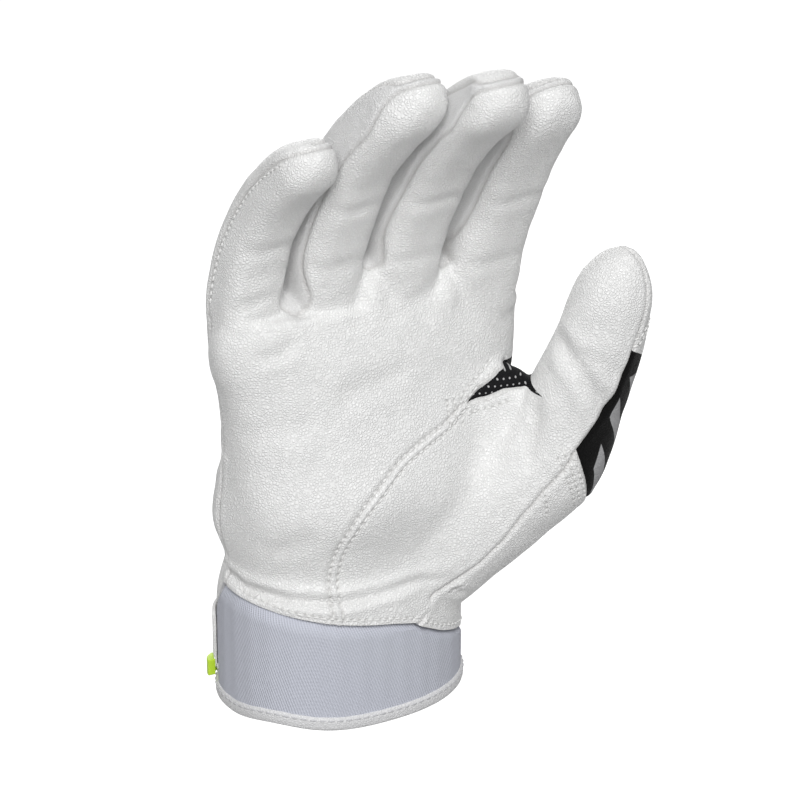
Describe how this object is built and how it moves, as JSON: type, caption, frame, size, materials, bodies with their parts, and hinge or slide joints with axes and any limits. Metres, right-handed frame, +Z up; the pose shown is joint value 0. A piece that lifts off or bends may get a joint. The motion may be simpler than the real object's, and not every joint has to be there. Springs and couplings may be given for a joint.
{
  "type": "batting glove",
  "caption": "Right-hand leather batting glove with jointed finger and thumb stalls, elastic cuff and a hook-and-loop wrist strap that peels open.",
  "frame": {"origin": "centre of the wrist opening in the plane of the cuff's bound rim", "axes": "+Z up the cuff towards the fingertips, -Y the palm side, +X the thumb side"},
  "size_m": [0.1114, 0.0843, 0.1878],
  "materials": {
    "white_leather": "fine grain, satin",
    "black_knit": "matt mesh knit",
    "grey_elastic": "diagonal twill elastic",
    "grey_binding": "folded tape",
    "lime_rubber": "satin",
    "grey_hooks": "hook and loop"
  },
  "bodies": {
    "hand": {"palm_panel": "white_leather", "thumb_heel_panel": "white_leather", "thumb_crotch_gusset": "black_knit", "knuckle_panel": "black_knit", "back_hand_panel": "white_leather", "side_panel": "white_leather", "thumb_back_panel": "black_knit", "cuff_band": "grey_elastic", "cuff_thumb_flap": "white_leather", "cuff_little_flap": "white_leather", "cuff_binding": "grey_binding", "wrist_loop_patch": "grey_hooks", "index_root_sleeve": "white_leather", "middle_root_sleeve": "white_leather", "ring_root_sleeve": "white_leather", "little_root_sleeve": "white_leather", "thumb_root_sleeve": "white_leather"},
    "strap": {"wrist_strap": "white_leather", "strap_hook_pad": "grey_hooks", "strap_pull_tab": "lime_rubber"},
    "index_lower": {"index_front_lower": "white_leather", "index_back_lower": "white_leather", "index_ulnar_fourchette_lower": "white_leather", "index_middle_sleeve": "white_leather"},
    "index_upper": {"index_front_upper": "white_leather", "index_back_upper": "white_leather", "index_ulnar_fourchette_upper": "white_leather"},
    "middle_lower": {"middle_front_lower": "white_leather", "middle_back_lower": "white_leather", "middle_ulnar_fourchette_lower": "white_leather", "middle_radial_fourchette_lower": "white_leather", "middle_middle_sleeve": "white_leather"},
    "middle_upper": {"middle_front_upper": "white_leather", "middle_back_upper": "white_leather", "middle_ulnar_fourchette_upper": "white_leather", "middle_radial_fourchette_upper": "white_leather"},
    "ring_lower": {"ring_front_lower": "white_leather", "ring_back_lower": "white_leather", "ring_ulnar_fourchette_lower": "white_leather", "ring_radial_fourchette_lower": "white_leather", "ring_middle_sleeve": "white_leather"},
    "ring_upper": {"ring_front_upper": "white_leather", "ring_back_upper": "white_leather", "ring_ulnar_fourchette_upper": "white_leather", "ring_radial_fourchette_upper": "white_leather"},
    "little_lower": {"little_front_lower": "white_leather", "little_back_lower": "white_leather", "little_radial_fourchette_lower": "white_leather", "little_middle_sleeve": "white_leather"},
    "little_upper": {"little_front_upper": "white_leather", "little_back_upper": "white_leather", "little_radial_fourchette_upper": "white_leather"},
    "thumb_lower": {"thumb_front_lower": "white_leather", "thumb_back_lower": "black_knit", "thumb_middle_sleeve": "white_leather"},
    "thumb_upper": {"thumb_front_upper": "white_leather", "thumb_back_upper": "white_leather"}
  },
  "joints": [
    {"name": "index_root", "type": "hinge", "parent": "hand", "child": "index_lower", "pos_m": [0.04158, -0.00691, 0.12354], "axis": [1, 0, 0], "range_deg": [-22, 45], "deforming": ["index_root_sleeve"]},
    {"name": "index_middle", "type": "hinge", "parent": "index_lower", "child": "index_upper", "pos_m": [0.04229, -0.01816, 0.14818], "axis": [1, 0, 0], "range_deg": [-28, 45], "deforming": ["index_middle_sleeve"]},
    {"name": "middle_root", "type": "hinge", "parent": "hand", "child": "middle_lower", "pos_m": [0.01853, -0.00457, 0.12353], "axis": [1, 0, 0], "range_deg": [-22, 45], "deforming": ["middle_root_sleeve"]},
    {"name": "middle_middle", "type": "hinge", "parent": "middle_lower", "child": "middle_upper", "pos_m": [0.02028, -0.01857, 0.15382], "axis": [1, 0, 0], "range_deg": [-28, 45], "deforming": ["middle_middle_sleeve"]},
    {"name": "ring_root", "type": "hinge", "parent": "hand", "child": "ring_lower", "pos_m": [-0.00239, -0.00252, 0.12354], "axis": [1, 0, 0], "range_deg": [-22, 45], "deforming": ["ring_root_sleeve"]},
    {"name": "ring_middle", "type": "hinge", "parent": "ring_lower", "child": "ring_upper", "pos_m": [-0.00011, -0.01337, 0.15246], "axis": [1, 0, 0], "range_deg": [-28, 45], "deforming": ["ring_middle_sleeve"]},
    {"name": "little_root", "type": "hinge", "parent": "hand", "child": "little_lower", "pos_m": [-0.02542, 0.00038, 0.12354], "axis": [1, 0, 0], "range_deg": [-22, 45], "deforming": ["little_root_sleeve"]},
    {"name": "little_middle", "type": "hinge", "parent": "little_lower", "child": "little_upper", "pos_m": [-0.02323, -0.00827, 0.14628], "axis": [1, 0, 0], "range_deg": [-28, 45], "deforming": ["little_middle_sleeve"]},
    {"name": "thumb_root", "type": "hinge", "parent": "hand", "child": "thumb_lower", "pos_m": [0.05759, -0.0293, 0.08605], "axis": [-0.7286, 0.5792, 0.3656], "range_deg": [-20, 15], "deforming": ["thumb_root_sleeve"]},
    {"name": "thumb_middle", "type": "hinge", "parent": "thumb_lower", "child": "thumb_upper", "pos_m": [0.06213, -0.03468, 0.10686], "axis": [-0.7621, 0.6058, 0.2283], "range_deg": [-30, 15], "deforming": ["thumb_middle_sleeve"]},
    {"name": "strap_peel", "type": "hinge", "parent": "hand", "child": "strap", "pos_m": [0.02822, 0.01777, 0.0145], "axis": [0, 0, -1], "range_deg": [0, 95]}
  ]
}
